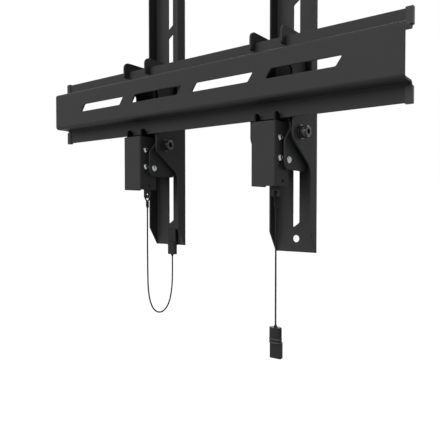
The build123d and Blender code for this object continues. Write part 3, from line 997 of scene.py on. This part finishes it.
@dataclass
class PullCord:
    """A pull cord: the eye tied in the slider's hole, the cord and its tab.

    Attributes:
        side: Which arm the cord belongs to.
        route: Points of its route: from the arm's middle, from the wall, and the height, in millimetres.
        parked: Whether the tab is stuck to the arm, above its cord end, or hangs below it.
        diameter_mm: Thickness of the cord.
        eye_radius_mm: Radius of the tied eye at the middle of the cord.
        eye_height_mm: Height of the eye's middle.
        eye_start_deg: Angle at which the eye leaves the knot.
        eye_sweep_deg: Angle that the eye goes round.
        eye_pinch: Share of the eye's width that is lost at the knot.
        eye_steps: Steps along the eye.
        knot_top_mm: Height of the top of the knot.
        knot_turns: Turns of the cord in the knot.
        knot_radius_mm: Radius of those turns at the middle of the cord.
        knot_steps: Steps in a turn of the knot.
        tab_edge_mm: Rounding of the tab's edges.
        grip_width_mm: Width of the tab's oval grip.
        grip_thickness_mm: Thickness of the grip.
        rib_drops_mm: Distances of the grip's ribs from the cord end.
        rib_radius_mm: Radius of a rib.
        rib_sink_mm: Depth of a rib's middle line in the grip.
        rib_start_deg: Angle round the grip at which a rib starts, from the side.
        rib_steps: Steps along a rib.
        rib_sides: Number of sides of a rib's section.
        sleeve_mm: Length of the flared sleeve on the cord.
        sleeve_foot_mm: Radius of the sleeve on the tab.
        sleeve_tip_mm: Radius of the sleeve's tip.
        sleeve_sides: Number of sides of the sleeve.
        sides: Number of sides of the cord's section.
    """

    side: Side
    route: tuple[tuple[float, float, float], ...]
    parked: bool
    diameter_mm: float = 2.0
    eye_radius_mm: float = 4.0
    eye_height_mm: float = -126.95
    eye_start_deg: float = -78.0
    eye_sweep_deg: float = 336.0
    eye_pinch: float = 0.75
    eye_steps: int = 48
    knot_top_mm: float = -129.95
    knot_turns: int = 4
    knot_radius_mm: float = 1.2
    knot_steps: int = 16
    tab_edge_mm: float = 0.4
    grip_width_mm: float = 15.3
    grip_thickness_mm: float = 9.0
    rib_drops_mm: tuple[float, float] = (13.2, 17.2)
    rib_radius_mm: float = 0.75
    rib_sink_mm: float = 0.3
    rib_start_deg: float = -18.0
    rib_steps: int = 40
    rib_sides: int = 8
    sleeve_mm: float = 3.0
    sleeve_foot_mm: float = 2.3
    sleeve_tip_mm: float = 1.15
    sleeve_sides: int = 24
    sides: int = 14

    @property
    def tab_way(self) -> int:
        """1 where the tab stands above its cord end, -1 where it hangs below."""
        return 1 if self.parked else -1

    def build(self, shop: Workshop) -> None:
        """Make the eye, the cord and the tab, and log the cord's length.

        Args:
            shop: The workshop.
        """
        own = self.side.own
        latch = own("latch")
        tab_body = own("arm") if self.parked else latch
        eye = self.tie_eye(shop, latch)
        points = [self.side.point(*point) for point in self.route]
        line = smooth_line(points)
        name = own("braided_cord")
        cord = new_piece(name, tube_mesh(name, [line], self.diameter_mm * MM / 2, self.sides))
        shop.stand_in(cord, own("pull_cord"), BRAID, None if self.parked else latch)
        if self.parked:
            own("hook")
            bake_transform(cord)
        tab = self.mould_tab(shop, tab_body)
        magnet = shop.nodes[own("tab_magnet")]
        shop.dress(magnet, NICKEL_PLATE)
        length = sum((after - before).length for before, after in zip(line, line[1:]))
        [tuple(point) for point in line]
        LOG.info("%s cord: %.1f mm", self.side.value, length / MM)

    def rib_lines(self) -> list[list[Vector]]:
        """Work out the middle lines of the ribs, which go round the front of the tab's grip.

        Returns:
            Points of each line.
        """
        across, depth, height = self.route[-1]
        wide = self.grip_width_mm / 2 - self.rib_sink_mm
        deep = self.grip_thickness_mm / 2 - self.rib_sink_mm
        sweep = 180 - 2 * self.rib_start_deg
        lines = []
        for drop in self.rib_drops_mm:
            line = []
            for step in range(self.rib_steps + 1):
                angle = math.radians(self.rib_start_deg + sweep * step / self.rib_steps)
                x = across + wide * math.cos(angle)
                line.append(self.side.point(x, depth - deep * math.sin(angle), height + self.tab_way * drop))
            lines.append(line)
        return lines

    def mould_tab(self, shop: Workshop, body: str) -> bpy.types.Object:
        """Finish the tab: rounded edges, a flared sleeve for the cord and two ribs on the grip's front.

        Args:
            shop: The workshop.
            body: Body that the tab rides on.

        Returns:
            The finished tab.
        """
        ribs = new_piece("ribs", line_mesh("rib_lines", self.rib_lines()))
        run_tree(ribs, shop.wires, {
            "Radius": self.rib_radius_mm * MM,
            "Sides": self.rib_sides,
            "Finish": shop.materials[MOULDED_ABS.name],
        })
        node = self.side.own("pull_tab")
        tab = rounded_copy(shop.nodes[node], f"ribbed_{node}", self.tab_edge_mm)
        shape = bmesh.new()
        shape.from_mesh(tab.data)
        first_rib_face = len(shape.faces)
        shape.from_mesh(ribs.data)
        rib_faces = list(range(first_rib_face, len(shape.faces)))
        across, depth, height = self.route[-1]
        middle = self.side.point(across, depth, height - self.tab_way * self.sleeve_mm / 2)
        turn = Matrix.Rotation(math.pi if self.parked else 0.0, 4, "X")
        bmesh.ops.create_cone(
            shape,
            cap_ends=True,
            segments=self.sleeve_sides,
            radius1=self.sleeve_foot_mm * MM,
            radius2=self.sleeve_tip_mm * MM,
            depth=self.sleeve_mm * MM,
            matrix=Matrix.Translation(middle) @ turn,
        )
        shape.to_mesh(tab.data)
        shape.free()
        bpy.data.objects.remove(ribs)
        shop.stand_in(tab, node, MOULDED_ABS, body)
        # Only the hanging tab's ribs get the painted highlight.
        if not self.parked:
            shop.touch_up(tab, rib_faces, RIB_HIGHLIGHT_ABS)
        return tab

    def tie_eye(self, shop: Workshop, latch: str) -> bpy.types.Object:
        """Tie the cord's eye: a drop-shaped loop closed by a knot of close turns.

        Args:
            shop: The workshop.
            latch: Body that the eye rides on.

        Returns:
            The tied eye.
        """
        depth = self.route[0][1]
        loop = []
        for step in range(self.eye_steps + 1):
            angle = math.radians(self.eye_start_deg + self.eye_sweep_deg * step / self.eye_steps)
            width = 1 - self.eye_pinch * max(0.0, -math.sin(angle))
            along = self.eye_radius_mm * width * math.cos(angle)
            height = self.eye_height_mm + self.eye_radius_mm * math.sin(angle)
            loop.append(self.side.point(0, depth - along, height))
        half = self.diameter_mm / 2
        wraps = []
        count = self.knot_turns * self.knot_steps
        for step in range(count + 1):
            angle = math.tau * self.knot_turns * step / count
            drop = half + self.knot_turns * self.diameter_mm * step / count
            across = self.knot_radius_mm * math.cos(angle)
            along = self.knot_radius_mm * math.sin(angle)
            wraps.append(self.side.point(across, depth - along, self.knot_top_mm - drop))
        core = [self.side.point(0, depth, self.knot_top_mm - half), self.side.point(*self.route[0])]
        name = self.side.own("tied_eye")
        eye = new_piece(name, tube_mesh(name, [loop, wraps, core], half * MM, self.sides))
        shop.stand_in(eye, self.side.own("cord_eye"), BRAID, latch)
        return eye


@dataclass(frozen=True)
class Sun:
    """A soft light from far away.

    Attributes:
        name: Name of the light.
        towards: Direction to the light.
        strength: Light on a surface that faces it.
        angle_deg: Width of the light as seen from the object.
    """

    name: str
    towards: tuple[float, float, float]
    strength: float
    angle_deg: float

    def build(self) -> None:
        """Add the light to the scene."""
        light = bpy.data.lights.new(self.name, "SUN")
        light.energy = self.strength
        light.angle = math.radians(self.angle_deg)
        holder = new_piece(self.name, light)
        holder.rotation_euler = Vector(self.towards).to_track_quat("Z", "Y").to_euler()


# The key light shows the side that the photograph shows, and the room light the side that faces the room.
SUNS = (
    Sun(name="key", towards=(0.15, 1.0, 0.5), strength=2.75, angle_deg=64.0),
    Sun(name="room_light", towards=(0.35, -1.0, 0.5), strength=1.8, angle_deg=50.0),
)


@dataclass
class Studio:
    """Camera, soft lights, pale floor and white surround.

    Attributes:
        camera_mm: Place of the camera.
        yaw_deg: Turn of the view from the wall's normal towards +X.
        pitch_deg: Tilt of the view below the level.
        focal_pixels: Focal length in pixels of the photograph's frame.
        sensor_mm: Width of the camera's sensor.
        clip_mm: Distance from which the camera sees.
        floor_mm: Height of the floor.
        floor_reach_mm: Half the floor's width.
        floor_colour: Colour of the floor's shading.
        floor_glow: Light that the floor shows besides its shading.
        surround_colour: Colour of the surround.
        surround: Strength of the light from all round.
    """

    camera_mm: tuple[float, float, float] = (-382.4, 449.1, -138.4)
    yaw_deg: float = 36.55
    pitch_deg: float = 1.49
    focal_pixels: float = 500.0
    sensor_mm: float = 36.0
    clip_mm: float = 10.0
    floor_mm: float = -620.0
    floor_reach_mm: float = 30000.0
    floor_colour: str = "#9c9c9c"
    floor_glow: float = 0.78
    surround_colour: str = "#ffffff"
    surround: float = 0.25

    def build(self) -> None:
        """Set up the camera, the lights and the stage."""
        self.place_camera()
        for sun in SUNS:
            sun.build()
        self.add_floor()
        self.light_surround()
        bpy.context.scene.view_settings.view_transform = "Standard"

    def place_camera(self) -> None:
        """Put the camera at the photograph's viewing angle."""
        camera = bpy.data.cameras.new("camera")
        camera.sensor_width = self.sensor_mm
        camera.lens = self.focal_pixels * self.sensor_mm / IMAGE_PIXELS
        camera.clip_start = self.clip_mm * MM
        holder = new_piece("camera", camera)
        yaw, pitch = math.radians(self.yaw_deg), math.radians(self.pitch_deg)
        level = math.cos(pitch)
        look = Vector((math.sin(yaw) * level, -math.cos(yaw) * level, -math.sin(pitch)))
        holder.rotation_euler = look.to_track_quat("-Z", "Y").to_euler()
        holder.location = Vector(self.camera_mm) * MM
        bpy.context.scene.camera = holder

    def add_floor(self) -> None:
        """Add the pale floor, which looks white but keeps a shadow."""
        shape = bmesh.new()
        place = Matrix.Translation((0, 0, self.floor_mm * MM))
        bmesh.ops.create_grid(shape, x_segments=1, y_segments=1, size=self.floor_reach_mm * MM, matrix=place)
        mesh = bpy.data.meshes.new("floor")
        shape.to_mesh(mesh)
        shape.free()
        floor = new_piece("floor", mesh)
        material = bpy.data.materials.new("white_paper")
        material.use_nodes = True
        tree = material.node_tree
        tree.nodes.clear()
        paper = add_node(tree, "ShaderNodeBsdfDiffuse", {"Color": linear(self.floor_colour)})
        glow = add_node(tree, "ShaderNodeEmission", {"Strength": self.floor_glow})
        both = add_node(tree, "ShaderNodeAddShader", {0: paper.outputs[0], 1: glow.outputs[0]})
        shown = self.shown_ray(tree)
        mix = add_node(tree, "ShaderNodeMixShader", {0: shown, 1: paper.outputs[0], 2: both.outputs[0]})
        add_node(tree, "ShaderNodeOutputMaterial", {0: mix.outputs[0]})
        mesh.materials.append(material)

    def shown_ray(self, tree: bpy.types.NodeTree) -> bpy.types.NodeSocket:
        """Tell the rays that show the surround from those that light the object.

        Args:
            tree: Node tree of the floor or the world.

        Returns:
            Output that is 1 for camera, glossy and transmission rays.
        """
        path = add_node(tree, "ShaderNodeLightPath")
        shown = path.outputs["Is Camera Ray"]
        for kind in ("Is Glossy Ray", "Is Transmission Ray"):
            either = {0: shown, 1: path.outputs[kind]}
            shown = add_node(tree, "ShaderNodeMath", either, operation="MAXIMUM").outputs[0]
        return shown

    def light_surround(self) -> None:
        """Make a white surround that lights the object only softly."""
        world = bpy.data.worlds.new("surround")
        world.use_nodes = True
        bpy.context.scene.world = world
        tree = world.node_tree
        tree.nodes.clear()
        white = linear(self.surround_colour)
        light = add_node(tree, "ShaderNodeBackground", {"Color": white, "Strength": self.surround})
        backdrop = add_node(tree, "ShaderNodeBackground", {"Color": white, "Strength": 1.0})
        shown = self.shown_ray(tree)
        mix = add_node(tree, "ShaderNodeMixShader", {0: shown, 1: light.outputs[0], 2: backdrop.outputs[0]})
        add_node(tree, "ShaderNodeOutputWorld", {0: mix.outputs[0]})


# Routes of the cords from the knot: the looped cord goes down and up again to the tab on the arm's web.
LOOPED_ROUTE = (
    (0.0, 36.6, -139.95),
    (0.03, 36.43, -176.0),
    (0.0, 36.6, -216.0),
    (-0.08, 37.12, -252.0),
    (-0.84, 42.17, -273.5),
    (-2.34, 52.03, -284.5),
    (-4.16, 64.02, -284.5),
    (-5.66, 73.88, -273.5),
    (-6.4, 78.81, -252.0),
    (-6.53, 79.62, -228.0),
    (-6.5, 79.45, -205.0),
)
HANGING_ROUTE = (
    (0.0, 36.6, -139.95),
    (0.0, 36.6, -152.0),
    (0.0, 36.6, -261.15),
    (0.0, 36.6, -273.15),
)


def main() -> None:
    """Load the frame, and build and dress every piece; the cords log their lengths."""
    logging.basicConfig(level=logging.INFO, format="%(message)s")
    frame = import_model()
    shop = Workshop(frame["nodes"])
    Studio().build()
    PullCord(Side.RIGHT, LOOPED_ROUTE, parked=True).build(shop)
    PullCord(Side.LEFT, HANGING_ROUTE, parked=False).build(shop)
    WallRail().build(shop)
    for side in Side:
        ScreenArm(side).build(shop)
        Pivot(side).build(shop)
        Latch(side).build(shop)


if __name__ == "__main__":
    main()
